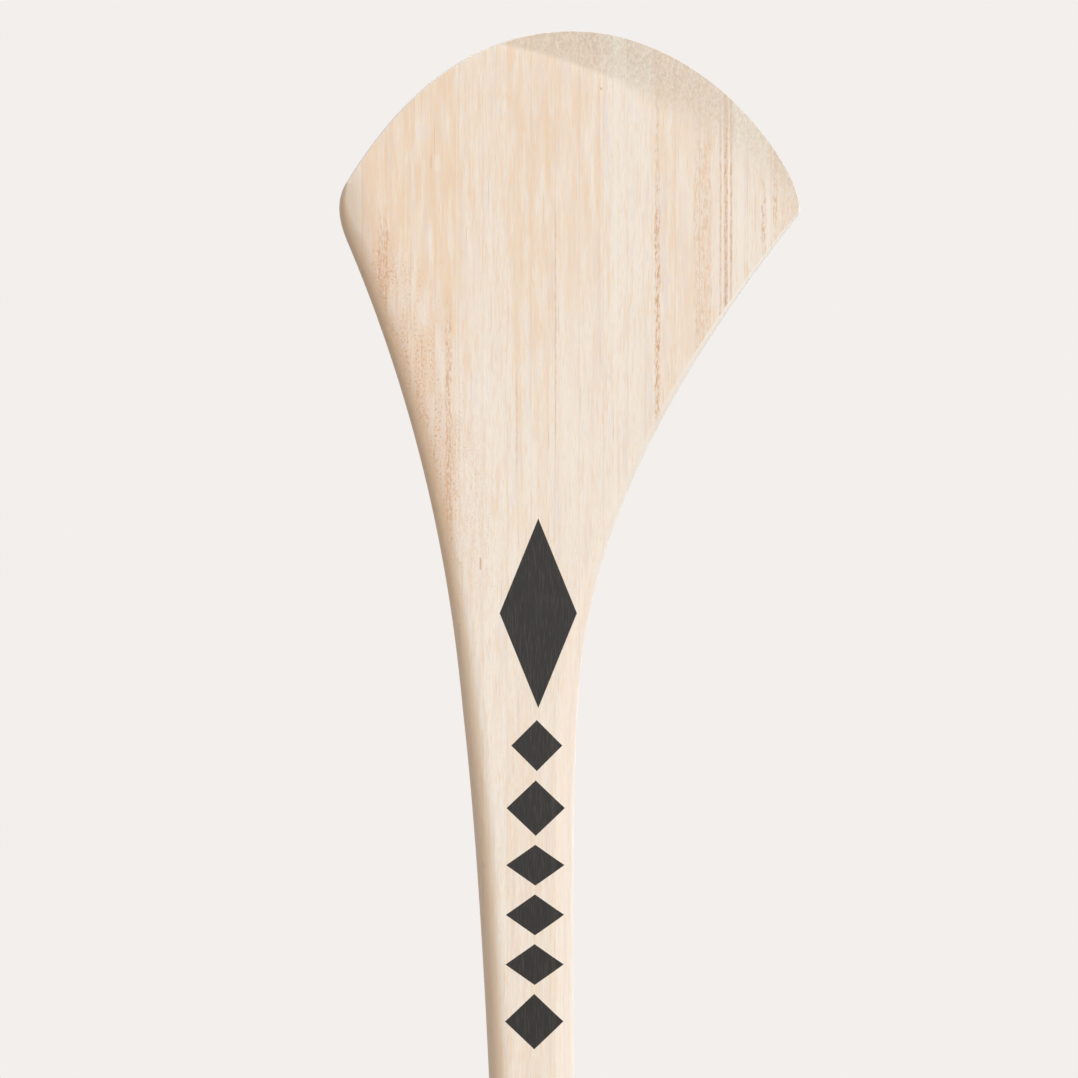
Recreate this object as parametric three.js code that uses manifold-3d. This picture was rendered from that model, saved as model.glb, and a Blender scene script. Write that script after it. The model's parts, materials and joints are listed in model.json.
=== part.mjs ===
import * as THREE from "three";
import { mergeVertices } from "three/addons/utils/BufferGeometryUtils.js";
import Module from "manifold-3d";

// A hurley cut from a billet of glued bamboo strips, with a taped handle and a hook at the butt.
// Millimetres. Z runs up the handle from the butt to the tip, X towards the toe, -Y towards the printed face.

// Whole stick
const overallLength = 889;
const stripWidth = 6.55;
const glueGap = 0.3;
const stripDrift = 27.16;
const seamAtButt = -12;
const leastStripWidth = 2.4;
const overrun = 30;

// Bas, the broad striking end
const basLength = 189;
const basThickness = 12;
const heelReach = 47.1;
const toeReach = 82;
const tipReach = 17.9;
const flankRound = 5;
const domeRound = 2.6;
const flatFaceLength = 105;
const thinningLength = 150;

// Bevel round the toe, a shallow cone whose axis runs through the thickness of the bas
const bevelRadius = 146.7;
const bevelCentreReach = -31.5;
const bevelCentreDrop = 146.8;
const bevelWidth = 12;
const bevelDepth = 3;

// Neck and shaft
const neckWidth = 30.6;
const neckThickness = 20;
const shaftWidth = 22;
const shaftTop = 520;
const shaftBottom = 400;
const shaftRound = 8;

// Handle and hook
const handleWidth = 26;
const handleThickness = 23;
const handleRound = 11.5;
const hookReach = 44;
const noseHeight = 20;
const undersideHeight = 26.8;
const undersideSlope = 2.6;
const hookCornerRound = 5;
const hookCrotchReach = 25.5;
const hookBlendHeight = 17;

// Curved end of the butt: a small flat on the handle's axis, falling off to the plain side and to the nose
const endFlatBack = 1.5;
const endFlatReach = 7.3;
const plainSideDrop = 5.4;
const noseDrop = 13.6;

// Grip: a cap on the butt, a wrap round the hook, one long tape wound up the handle and a band that ends it
const padThickness = 1.8;
const padWall = 0.9;
const rimHeight = 11;
const rimSlopeDegrees = 3.2;
const wrapThickness = 1.6;
const wrapHeight = 48;
const tapePitch = 17.9;
const tapeTurns = 18;
const tapeGap = 0.5;
const tapeThickness = 1.1;
const tapeLap = 7;
const tapeEndWidth = 2;
const bandWidth = 19;
const bandThickness = 0.9;
const seatGap = 0.3;

// Each side of the bas. Its ends are shares of the side's reach and of the bas's length down from the tip.
// The handles of its curves are shares of the box between the two ends of the curve.
const heelSide = {
  reach: heelReach,
  tipReach: -tipReach,
  flankEndShares: [0.921, 0.292],
  cornerShares: [1, 0.241],
  domeStartShares: [0.917, 0.2095],
  flankHandleShares: [[0.05, 0.129], [0.107, 0.519]],
  domeHandleShares: [[0.241, 0.563], [0.55, 1]],
};
const toeSide = {
  reach: toeReach,
  tipReach: tipReach,
  flankEndShares: [0.963, 0.279],
  cornerShares: [1, 0.26],
  domeStartShares: [0.983, 0.2423],
  flankHandleShares: [[0.033, 0.194], [0.096, 0.492]],
  domeHandleShares: [[0.166, 0.548], [0.563, 1]],
};
const shaftHandleShares = [[0, 0.5], [1, 0.5]];
const neckHandleShares = [[0, 0.33], [0.15, 0.74]];
const crotchHandleShares = [[0.42, 0.08], [0.95, 0.45]];
const plainEndHandleShares = [[0.05, 0.4], [0.45, 1]];
const noseEndHandleShares = [[0.45, 0], [0.87, 0.4]];
const lastDomeShare = 0.98;
const leastFlatShare = 0.02;

// Steps along the curves and round a quarter of a section
const shaftSteps = 3;
const neckSteps = 6;
const flankSteps = 12;
const cornerSteps = 4;
const domeSteps = 13;
const hookSteps = 4;
const crotchSteps = 6;
const endSteps = 8;
const quarterSteps = 4;
const bevelSteps = 96;

const mix = THREE.MathUtils.lerp;
const smoothstep = THREE.MathUtils.smoothstep;
const neckHeight = overallLength - basLength;

// The strips run straight, so they drift towards the toe from the butt to the tip
const stripLean = Math.atan2(stripDrift, overallLength);

const pale = new THREE.MeshStandardMaterial({ color: 0xeddbc7, roughness: 0.5, metalness: 0 });
const honey = new THREE.MeshStandardMaterial({ color: 0xebd1b5, roughness: 0.5, metalness: 0 });
const peach = new THREE.MeshStandardMaterial({ color: 0xebd6bd, roughness: 0.5, metalness: 0 });
const tapeWhite = new THREE.MeshStandardMaterial({ color: 0xf0f5f7, roughness: 0.6, metalness: 0 });
const bandWhite = new THREE.MeshStandardMaterial({ color: 0xf2f5f5, roughness: 0.4, metalness: 0 });
const padWhite = new THREE.MeshStandardMaterial({ color: 0xe6edf5, roughness: 0.7, metalness: 0 });

// The strips' tones from heel to toe
const stripTones = [
  ...[peach, peach, honey, honey, honey, pale, pale, honey, honey, peach],
  ...[peach, pale, pale, honey, peach, peach, pale, pale, peach],
];

const wasm = await Module();
wasm.setup();

function solidOf(geometry) {
  geometry.deleteAttribute("normal");
  geometry.deleteAttribute("uv");
  const merged = mergeVertices(geometry);
  return new wasm.Manifold(
    new wasm.Mesh({
      numProp: 3,
      vertProperties: merged.getAttribute("position").array,
      triVerts: Uint32Array.from(merged.index.array),
    }),
  );
}

function geometryOf(solid) {
  const mesh = solid.getMesh();
  const geometry = new THREE.BufferGeometry();
  geometry.setAttribute("position", new THREE.BufferAttribute(mesh.vertProperties, mesh.numProp));
  geometry.setIndex(new THREE.BufferAttribute(mesh.triVerts, 1));
  geometry.computeVertexNormals();
  return geometry;
}

function meshOf(name, geometry, material) {
  const mesh = new THREE.Mesh(geometry, material);
  mesh.name = name;
  return mesh;
}

// Joins rings of equal length into a closed skin. Each ring runs anticlockwise seen from the next one.
function skinOver(rings) {
  const size = rings[0].length;
  const last = (rings.length - 1) * size;
  const index = [];
  for (let ring = 0; ring < last; ring += size) {
    for (let i = 0; i < size; i++) {
      const next = (i + 1) % size;
      index.push(ring + i, ring + next, ring + size + next);
      index.push(ring + i, ring + size + next, ring + size + i);
    }
  }
  for (let i = 1; i < size - 1; i++) {
    index.push(0, i + 1, i);
    index.push(last, last + i, last + i + 1);
  }
  const geometry = new THREE.BufferGeometry().setFromPoints(rings.flat());
  geometry.setIndex(index);
  return geometry;
}

// Outline points are (reach from the handle's axis, height) and carry the rounding of the edge there
const at = (reach, height) => new THREE.Vector2(reach, height);

function inBox(from, to, [reachShare, heightShare]) {
  return at(mix(from.x, to.x, reachShare), mix(from.y, to.y, heightShare));
}

function curveThrough(from, to, [firstShares, secondShares]) {
  return new THREE.CubicBezierCurve(from, inBox(from, to, firstShares), inBox(from, to, secondShares), to);
}

function stepsAlong(curve, steps, firstRound, lastRound, lastShare = 1) {
  return Array.from({ length: steps }, (_, i) => {
    const share = ((i + 1) / steps) * lastShare;
    return { place: curve.getPoint(share), round: mix(firstRound, lastRound, share) };
  });
}

// One side of the outline from the top of the handle to the tip
function sideOfBas(side) {
  const onBas = ([reachShare, dropShare]) =>
    at(side.reach * reachShare, overallLength - basLength * dropShare);
  const handleTop = at(handleWidth / 2, shaftBottom);
  const shaft = at(shaftWidth / 2, shaftTop);
  const neck = at(neckWidth / 2, neckHeight);
  const flankEnd = onBas(side.flankEndShares);
  const domeStart = onBas(side.domeStartShares);
  const tip = at(side.tipReach, overallLength);
  const taper = curveThrough(handleTop, shaft, shaftHandleShares);
  const flare = curveThrough(shaft, neck, neckHandleShares);
  const flank = curveThrough(neck, flankEnd, side.flankHandleShares);
  const corner = new THREE.QuadraticBezierCurve(flankEnd, onBas(side.cornerShares), domeStart);
  const dome = curveThrough(domeStart, tip, side.domeHandleShares);
  return [
    { place: handleTop, round: handleRound },
    ...stepsAlong(taper, shaftSteps, handleRound, shaftRound),
    ...stepsAlong(flare, neckSteps, shaftRound, shaftRound),
    ...stepsAlong(flank, flankSteps, shaftRound, flankRound),
    ...stepsAlong(corner, cornerSteps, flankRound, domeRound),
    ...stepsAlong(dome, domeSteps, domeRound, domeRound, lastDomeShare),
  ];
}

// The hook's side of the handle, from the butt up past the crotch of the hook
function sideOfHook() {
  const noseEnd = at(hookReach, noseHeight);
  const noseCorner = at(hookReach, undersideHeight - undersideSlope / 2);
  const underside = at(hookReach - hookCornerRound, undersideHeight - undersideSlope / 2);
  const crotch = at(hookCrotchReach, undersideHeight + undersideSlope / 2);
  const handle = at(handleWidth / 2, crotch.y + hookBlendHeight);
  const nose = new THREE.QuadraticBezierCurve(noseEnd, noseCorner, underside);
  return [
    { place: at(hookReach, 0), round: handleRound },
    { place: noseEnd, round: handleRound },
    ...stepsAlong(nose, hookSteps, handleRound, handleRound),
    { place: crotch, round: handleRound },
    ...stepsAlong(curveThrough(crotch, handle, crotchHandleShares), crotchSteps, handleRound, handleRound),
  ];
}

// The outline's outward direction at a point, from its neighbours
function outwardAt(points, i) {
  const before = points[Math.max(i - 1, 0)].place;
  const after = points[Math.min(i + 1, points.length - 1)].place;
  const along = after.clone().sub(before).normalize();
  return at(along.y, -along.x);
}

function halfThicknessAt(height) {
  const shaft = mix(handleThickness, neckThickness, smoothstep(height, shaftBottom, shaftTop));
  const flatStart = overallLength - flatFaceLength;
  const thinned = mix(shaft, basThickness, smoothstep(height, flatStart - thinningLength, flatStart));
  const depth = Math.min(overallLength - height, domeRound);
  return (thinned / 2) * Math.sqrt(1 - (1 - depth / domeRound) ** 2);
}

// A rounded section between a point of the heel side and one of the toe side
function sectionRing(heel, toe, halfThickness) {
  const heelEnd = at(-heel.place.x, heel.place.y);
  const along = toe.place.clone().sub(heelEnd);
  const most = (along.length() / 2) * (1 - leastFlatShare);
  along.normalize();
  const ring = [];
  for (const [end, round, inward, start] of [
    [toe.place, Math.min(toe.round, most), -1, -Math.PI / 2],
    [heelEnd, Math.min(heel.round, most), 1, Math.PI / 2],
  ]) {
    for (let i = 0; i <= 2 * quarterSteps; i++) {
      const angle = start + (i / quarterSteps) * (Math.PI / 2);
      const flat = end.clone().addScaledVector(along, round * (inward + Math.cos(angle)));
      ring.push(new THREE.Vector3(flat.x, halfThickness * Math.sin(angle), flat.y));
    }
  }
  return ring;
}

// A rounding keeps its size square to the outline, so it reaches further in where the outline leans over
function leanedRound(points, i) {
  return { place: points[i].place, round: points[i].round / outwardAt(points, i).x };
}

function basRings() {
  const heel = sideOfBas(heelSide);
  const toe = sideOfBas(toeSide);
  return heel.map((_, i) => {
    const height = (heel[i].place.y + toe[i].place.y) / 2;
    return sectionRing(leanedRound(heel, i), leanedRound(toe, i), halfThicknessAt(height));
  });
}

// Sections of the butt and hook, grown by a wall, from a height up to another
function hookRings(grown, bottom, top) {
  const side = sideOfHook();
  const straight = handleWidth / 2 + grown;
  const heel = side.map(({ place, round }, i) => ({
    place: place.clone().addScaledVector(outwardAt(side, i), grown),
    round: round + grown,
  }));
  heel[0].place.y = bottom;
  heel.push({ place: at(straight, top), round: handleRound + grown });
  return heel.map((point) => {
    const toe = { place: at(straight, point.place.y), round: handleRound + grown };
    return sectionRing(point, toe, handleThickness / 2 + grown);
  });
}

// The bevel is cut from the top right of the bas on both faces
function bevelCutters() {
  const face = basThickness / 2;
  const slope = bevelDepth / bevelWidth;
  const beyond = bevelWidth + overrun;
  const profile = [
    at(bevelRadius, face),
    at(bevelRadius + beyond, face - slope * beyond),
    at(bevelRadius + beyond, face + overrun),
    at(bevelRadius, face + overrun),
    at(bevelRadius, face),
  ];
  const ring = solidOf(new THREE.LatheGeometry(profile, bevelSteps));
  const reach = toeReach + overrun;
  const drop = basLength / 2;
  const block = new THREE.BoxGeometry(reach + tipReach, 2 * overrun, drop);
  block.translate((reach - tipReach) / 2, overrun, overallLength + overrun - drop / 2);
  const centre = [bevelCentreReach, 0, overallLength - bevelCentreDrop];
  const corner = solidOf(block);
  const back = ring.translate(centre).intersect(corner);
  return [back, back.mirror([0, 1, 0])];
}

// What the curved end of the butt cuts away below it, raised by a wall
function belowEnd(raised) {
  const plain = at(handleWidth / 2 + seatGap + wrapThickness, raised + plainSideDrop);
  const flatBack = at(endFlatBack, raised);
  const flatReach = at(-endFlatReach, raised);
  const nose = at(-(hookReach + seatGap + wrapThickness), raised + noseDrop);
  const plainEnd = curveThrough(plain, flatBack, plainEndHandleShares);
  const noseEnd = curveThrough(flatReach, nose, noseEndHandleShares);
  const shape = new THREE.Shape([
    at(plain.x + overrun, -overrun),
    at(plain.x + overrun, plain.y),
    ...plainEnd.getPoints(endSteps),
    ...noseEnd.getPoints(endSteps),
    at(nose.x - overrun, nose.y),
    at(nose.x - overrun, -overrun),
  ]);
  const depth = handleThickness + overrun;
  const block = new THREE.ExtrudeGeometry(shape, { depth, bevelEnabled: false });
  block.translate(0, 0, -depth / 2);
  block.rotateX(Math.PI / 2);
  return solidOf(block);
}

function woodBody() {
  const hook = hookRings(0, 0, shaftBottom);
  let body = solidOf(skinOver([...hook.slice(0, -1), ...basRings()]));
  const cutters = [belowEnd(padThickness + seatGap), ...bevelCutters()];
  for (const cutter of cutters) body = body.subtract(cutter);
  return body;
}

// A slab of the billet between two distances across the grain
function slabBetween(near, far) {
  const length = 2 * (overallLength + overrun);
  const slab = new THREE.BoxGeometry(far - near, handleThickness + overrun, length);
  slab.translate((near + far) / 2, 0, 0);
  slab.rotateY(stripLean);
  return solidOf(slab);
}

const acrossGrain = (point) => point.x * Math.cos(stripLean) - point.z * Math.sin(stripLean);

// Distances across the grain at which the glue lines lie, none closer to the edge than the least strip
function seams() {
  const across = basRings().flat().map(acrossGrain);
  const nearest = Math.min(...across) + leastStripWidth;
  const furthest = Math.max(...across) - leastStripWidth;
  const first = Math.ceil((nearest - seamAtButt) / stripWidth);
  const last = Math.floor((furthest - seamAtButt) / stripWidth);
  return Array.from({ length: last - first + 1 }, (_, i) => seamAtButt + (first + i) * stripWidth);
}

// A strip leaves the narrow shaft and comes back in the handle or the hook as a piece of its own
function stripMeshes() {
  const body = woodBody();
  const lines = seams();
  const edges = [lines[0] - overallLength, ...lines, lines.at(-1) + overallLength];
  const meshes = [];
  for (let i = 0; i < edges.length - 1; i++) {
    const slab = slabBetween(edges[i] + glueGap / 2, edges[i + 1] - glueGap / 2);
    const pieces = body.intersect(slab).decompose();
    const top = (piece) => piece.boundingBox().max[2];
    pieces.sort((a, b) => top(b) - top(a));
    pieces.forEach((piece, order) => {
      const place = piece.boundingBox().min[0] < handleWidth / -2 ? "_hook" : "_handle";
      const name = `strip_${String(i + 1).padStart(2, "0")}${order ? place : ""}`;
      meshes.push(meshOf(name, geometryOf(piece), stripTones[i % stripTones.length]));
    });
  }
  return meshes;
}

// All that lies above the rim where the cap meets the wrap, raised by a gap. The rim climbs towards the nose
function aboveRim(raised) {
  const side = 2 * overallLength;
  const block = new THREE.BoxGeometry(side, handleThickness + overrun, side);
  block.translate(0, 0, side / 2);
  block.rotateY(THREE.MathUtils.degToRad(rimSlopeDegrees));
  block.translate(0, 0, rimHeight + raised);
  return solidOf(block);
}

const hookSkin = (grown, bottom, top) => solidOf(skinOver(hookRings(grown, bottom, top)));

// The cap covers the curved end and its edges
function buttPad() {
  const outer = hookSkin(seatGap + padWall, 0, wrapHeight).subtract(belowEnd(0));
  const inner = hookSkin(seatGap, 0, wrapHeight + overrun).subtract(belowEnd(padThickness));
  return geometryOf(outer.subtract(inner).subtract(aboveRim(0)));
}

function hookWrap() {
  const outer = hookSkin(seatGap + wrapThickness, 0, wrapHeight).subtract(belowEnd(0));
  const inner = hookSkin(seatGap, 0, wrapHeight + overrun);
  return geometryOf(outer.subtract(inner).intersect(aboveRim(seatGap)));
}

// The tape's section at each step of its winding, which climbs clockwise seen from the tip. Its lower edge
// laps over the turn below and stands proud
function tapeRings(bottom) {
  const inner = hookRings(seatGap, 0, bottom).at(-1);
  const outer = hookRings(seatGap + tapeThickness, 0, bottom).at(-1);
  const proud = hookRings(seatGap + 2 * tapeThickness, 0, bottom).at(-1);
  const width = tapePitch - tapeGap;
  const top = bottom + tapePitch * tapeTurns;
  const perTurn = inner.length;
  const rings = [];
  for (let step = 0; step <= perTurn * (tapeTurns + 1); step++) {
    const middle = bottom + (tapePitch * step) / perTurn - tapePitch / 2;
    const low = Math.max(bottom, middle - width / 2);
    const high = Math.min(top, middle + width / 2);
    if (high - low < tapeEndWidth) continue;
    const lap = Math.min(low + tapeLap, high - tapeEndWidth / 2);
    const i = perTurn - 1 - (step % perTurn);
    const raised = (point, height) => new THREE.Vector3(point.x, point.y, height);
    rings.push([
      raised(proud[i], low),
      raised(proud[i], lap),
      raised(outer[i], high),
      raised(inner[i], high),
      raised(inner[i], low),
    ]);
  }
  return rings;
}

// Carries the first or the last section of a winding straight on
function runOut(from, to) {
  const onward = to[0].clone().sub(from[0]).setZ(0).setLength(2 * tapeThickness);
  return to.map((point) => point.clone().add(onward));
}

function leastGap(rings, perTurn) {
  let least = Infinity;
  for (let i = 0; i + perTurn < rings.length; i++) {
    const near = rings.slice(i + perTurn - 1, i + perTurn + 2).flat();
    for (const point of rings[i]) {
      for (const other of near) least = Math.min(least, point.distanceTo(other));
    }
  }
  return least;
}

function gripTape(bottom) {
  const rings = tapeRings(bottom);
  const perTurn = 4 * quarterSteps + 2;
  console.log(`grip_tape: least gap to itself ${leastGap(rings, perTurn).toFixed(2)} mm`);
  return skinOver([runOut(rings[1], rings[0]), ...rings, runOut(rings.at(-2), rings.at(-1))]);
}

function finishBand() {
  const lay = (grown) => hookRings(seatGap + grown, 0, 0).at(-1).map((p) => at(p.x, p.y));
  const shape = new THREE.Shape(lay(bandThickness));
  shape.holes.push(new THREE.Path(lay(0)));
  return new THREE.ExtrudeGeometry(shape, { depth: bandWidth, bevelEnabled: false });
}

const wood = new THREE.Group();
wood.add(...stripMeshes());

const tapeBottom = wrapHeight + seatGap;
const tapeTop = tapeBottom + tapePitch * tapeTurns;
const band = meshOf("finish_band", finishBand(), bandWhite);
band.position.z = tapeTop + seatGap;

const grip = new THREE.Group();
grip.add(meshOf("butt_pad", buttPad(), padWhite));
grip.add(meshOf("hook_wrap", hookWrap(), tapeWhite));
grip.add(meshOf("grip_tape", gripTape(tapeBottom), tapeWhite));
grip.add(band);

const hurley = new THREE.Group();
hurley.add(wood, grip);

export default hurley;
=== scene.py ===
import json
import math

import bmesh
import bpy
import numpy as np
from mathutils import Matrix, Vector


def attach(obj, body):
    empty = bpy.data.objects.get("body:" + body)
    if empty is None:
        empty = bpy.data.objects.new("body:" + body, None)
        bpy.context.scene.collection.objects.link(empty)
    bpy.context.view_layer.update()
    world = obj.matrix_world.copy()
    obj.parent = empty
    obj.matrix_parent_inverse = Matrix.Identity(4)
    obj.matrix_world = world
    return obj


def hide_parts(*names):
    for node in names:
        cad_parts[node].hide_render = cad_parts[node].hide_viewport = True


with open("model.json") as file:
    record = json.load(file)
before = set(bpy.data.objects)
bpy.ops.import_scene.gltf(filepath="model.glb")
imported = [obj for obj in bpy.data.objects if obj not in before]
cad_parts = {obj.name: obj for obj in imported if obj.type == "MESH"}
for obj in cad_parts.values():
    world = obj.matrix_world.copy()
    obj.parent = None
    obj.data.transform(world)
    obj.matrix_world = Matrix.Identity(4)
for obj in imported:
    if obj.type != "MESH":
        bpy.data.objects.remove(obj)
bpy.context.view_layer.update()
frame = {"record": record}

# A hurley of glued bamboo strips with a taped handle. Metres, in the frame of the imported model.
scene = bpy.context.scene
scene.view_settings.view_transform = "Standard"
slotOf = {row["node"]: row["material_slot"] for row in frame["record"]["subparts"]}

perMetre = 1000  # the shaders count in millimetres
fullTurn = 2 * math.pi

# The strips run straight and drift towards the toe on their way up the stick
grain = dict(
    length=0.889, drift=0.02716, stripWidth=0.00655, seamAtButt=-0.012, firstSeam=-8, lastSeam=9,
)
lean = math.atan2(grain["drift"], grain["length"])
acrossGrain = Vector((math.cos(lean), 0, -math.sin(lean)))
alongGrain = Vector((math.sin(lean), 0, math.cos(lean)))


def addObject(name, data):
    added = bpy.data.objects.new(name, data)
    scene.collection.objects.link(added)
    return added


# Camera, before anything else: a long lens square to the printed face, with the strips upright
photo = dict(
    distance=2.6, middle=(0.00653, 0, 0.75085), width=0.2942, sensor=36, nearest=0.05, farthest=60,
)


def addCamera():
    data = bpy.data.cameras.new("camera")
    data.sensor_width = photo["sensor"]
    data.lens = photo["sensor"] * photo["distance"] / photo["width"]
    data.clip_start = photo["nearest"]
    data.clip_end = photo["farthest"]
    camera = addObject("camera", data)
    back = Vector((0, -1, 0))
    turn = Matrix((acrossGrain, alongGrain, back)).transposed().to_4x4()
    place = Vector(photo["middle"]) + back * photo["distance"]
    camera.matrix_world = Matrix.Translation(place) @ turn
    scene.camera = camera


addCamera()
print("camera placed")


def maths(operation, swapped=False):  # a method that adds a maths node of this operation
    def added(wire, *others):
        values = (*others, wire) if swapped else (wire, *others)
        return wire.graph.node("ShaderNodeMath", dict(operation=operation), dict(enumerate(values)))

    return added


class Wire:  # shader and geometry maths as ordinary expressions
    def __init__(self, graph, socket):
        self.graph = graph
        self.socket = socket

    __add__ = maths("ADD")
    __radd__ = maths("ADD", swapped=True)
    __sub__ = maths("SUBTRACT")
    __rsub__ = maths("SUBTRACT", swapped=True)
    __mul__ = maths("MULTIPLY")
    __rmul__ = maths("MULTIPLY", swapped=True)
    __truediv__ = maths("DIVIDE")
    __abs__ = maths("ABSOLUTE")
    __lt__ = maths("LESS_THAN")
    floor = maths("FLOOR")
    root = maths("SQRT")
    sine = maths("SINE")
    cosine = maths("COSINE")
    atLeast = maths("MAXIMUM")
    atMost = maths("MINIMUM")

    def step(self, low, high, start=0.0, end=1.0):  # eases from start to end between low and high
        settings = dict(interpolation_type="SMOOTHSTEP")
        values = {"Value": self, "From Min": low, "From Max": high, "To Min": start, "To Max": end}
        return self.graph.node("ShaderNodeMapRange", settings, values, "Result")

    def near(self, middle, width, soft):  # 1 within a band, easing to 0 over its soft edge
        return abs(self - middle).step(width / 2, width / 2 + soft, 1.0, 0.0)


class Graph:
    def __init__(self, tree):
        self.tree = tree

    def node(self, kind, settings, values, output=0):
        made = self.tree.nodes.new(kind)
        for name, value in settings.items():
            setattr(made, name, value)
        for key, value in values.items():
            if isinstance(value, Wire):
                self.tree.links.new(value.socket, made.inputs[key])
            else:
                made.inputs[key].default_value = value
        return Wire(self, made.outputs[output])

    def split(self, vector):
        outputs = self.node("ShaderNodeSeparateXYZ", {}, {0: vector}).socket.node.outputs
        return [Wire(self, socket) for socket in outputs]

    def join(self, x, y, z):
        return self.node("ShaderNodeCombineXYZ", {}, {0: x, 1: y, 2: z})

    def dot(self, first, second):
        settings = dict(operation="DOT_PRODUCT")
        return self.node("ShaderNodeVectorMath", settings, {0: first, 1: second}, "Value")

    def blend(self, share, first, second):
        values = {0: share, 6: first, 7: second}
        return self.node("ShaderNodeMix", dict(data_type="RGBA"), values, 2)

    def noise(self, vector, detail=2.0, roughness=0.5):
        values = {"Vector": vector, "Scale": 1.0, "Detail": detail, "Roughness": roughness}
        return self.node("ShaderNodeTexNoise", {}, values, "Fac")

    def spot(self):  # where the spot lies in its piece, in millimetres
        place = self.node("ShaderNodeTexCoord", {}, {}, "Object")
        return [distance * perMetre for distance in self.split(place)]


def tone(red, green, blue):  # a colour as it is seen on screen, 0 to 255, made linear
    seen = [value / 255 for value in (red, green, blue)]
    linear = [v / 12.92 if v < 0.04045 else ((v + 0.055) / 1.055) ** 2.4 for v in seen]
    return (*linear, 1.0)


def newMaterial(name, look):
    material = bpy.data.materials.new(name)
    material.use_nodes = True
    shader = material.node_tree.nodes["Principled BSDF"]
    shader.inputs["Roughness"].default_value = look["roughness"]
    shader.inputs["Specular IOR Level"].default_value = look["specular"]
    return material, Graph(material.node_tree), shader.inputs


def plug(wire, socket):
    wire.graph.tree.links.new(wire.socket, socket)


def plugBump(height, look, inputs):
    strength, distance = look["bump"]
    values = {"Strength": strength, "Distance": distance, "Height": height}
    plug(height.graph.node("ShaderNodeBump", {}, values), inputs["Normal"])


# Bamboo: colours as they are seen on screen, and lengths in millimetres across and along the grain
bambooTones = dict(
    bamboo_pale=(243, 230, 214), bamboo_honey=(242, 224, 203), bamboo_peach=(243, 226, 208),
)
# rim is the colour of a painted highlight; amber, umber, fleck, endGrain and light also lay painted shade
# and light on the bas's sides, besides the grain
bambooTints = dict(
    light=(245, 234, 219), lilac=(228, 215, 210), amber=(238, 203, 166), fleck=(208, 160, 118),
    umber=(172, 118, 82), endGrain=(205, 189, 170), paleEnd=(212, 203, 184), rim=(254, 246, 232),
    ink=(28, 25, 22), inkStreak=(58, 53, 48),
)
bambooLook = dict(
    roughness=0.52, specular=0.35, fineRoughness=0.14, cutRoughness=0.16, inkSmoothness=0.06,
    waver=0.5, waverSize=(3, 18), stripShift=17.3, chanceSeed=3.5, bump=(0.25, 0.0001),
)

# Patterns of fibres: width, length, and the detail and roughness of their noise
fibreSizes = dict(
    broad=(2.6, 80, 1.0, 0.5), blotch=(2.2, 16, 2.0, 0.5), cool=(1.7, 34, 2.0, 0.5),
    medium=(0.8, 13, 2.0, 0.5), fine=(0.32, 5, 2.0, 0.6), hair=(0.15, 4, 1.0, 0.5),
    specks=(0.36, 1.9, 3.0, 0.7),
)

# The tints that the patterns lay on: from which level to which, how strongly, and how much more by strip
streakLayers = [
    ("blotch", "light", 0.5, 0.3, 0.45, 0),
    ("cool", "lilac", 0.5, 0.75, 0.45, 0),
    ("medium", "amber", 0.5, 0.7, 0.24, 0.2),
    ("medium", "light", 0.5, 0.3, 0.4, 0),
    ("fine", "amber", 0.5, 0.68, 0.3, 0.26),
    ("fine", "lilac", 0.47, 0.3, 0.55, 0),
    ("hair", "light", 0.52, 0.72, 0.4, 0),
    ("hair", "lilac", 0.46, 0.27, 0.4, 0),
]


# Bands that show in the photograph: warmer wood towards the tip, paler lines, the small marks of the
# cane's nodes, patches of brown flecks and dark lines of fibre
def bands(soft, fade, *rows):  # each row: across, width, low end, high end, strength
    return dict(soft=soft, fade=fade, rows=rows)  # edges ease over soft across the grain, fade along it


warmBands = bands(
    0.2, 60.0, (-51.9, 25.6, 720, 960, 0.62), (-31.7, 14.0, 815, 960, 0.3),
    (-18.4, 12.6, 812, 960, 0.52), (-5.9, 12.2, 812, 960, 0.38), (23.4, 16.0, 750, 960, 0.25),
)
paleBands = bands(
    0.2, 60.0, (4.4, 0.7, 700, 930, 0.6), (33.7, 0.3, 770, 910, 0.6), (35.3, 0.2, 770, 910, 0.6),
    (38.5, 1.6, 760, 930, 0.6), (46.1, 0.5, 790, 890, 0.6),
)
nodeLights = bands(
    1.0, 1.6, (-30.9, 1.2, 742.4, 745.2, 0.5), (-44.2, 0.9, 850.8, 855.4, 0.35),
    (-33.7, 0.9, 880.0, 882.8, 0.35),
)
nodeShades = bands(
    0.2, 0.6, (-32.3, 0.3, 742.4, 745.6, 0.7), (-45.8, 0.2, 851.6, 855.2, 0.3),
    (0.5, 0.2, 873.0, 873.6, 0.9),
)
fleckBands = bands(
    0.4, 20.0, (-58.8, 2.4, 815, 837, 0.75), (-41.0, 1.2, 740, 812, 0.75),
    (15.8, 1.0, 765, 848, 0.85), (15.8, 0.7, 838, 884, 0.4), (28.2, 4.0, 786, 862, 0.35),
    (44.7, 0.7, 828, 848, 0.75), (48.0, 0.8, 835, 856, 0.7), (52.0, 9.0, 806, 856, 0.2),
)
fibreLines = bands(
    0.2, 20.0, (-22.5, 0.4, 766, 800, 0.4), (-11.9, 0.3, 775, 840, 0.45),
    (33.0, 0.3, 800, 874, 0.6), (34.5, 0.7, 800, 878, 0.85), (35.9, 0.4, 800, 874, 0.7),
)


def tint(name):
    return tone(*bambooTints[name])


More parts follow.
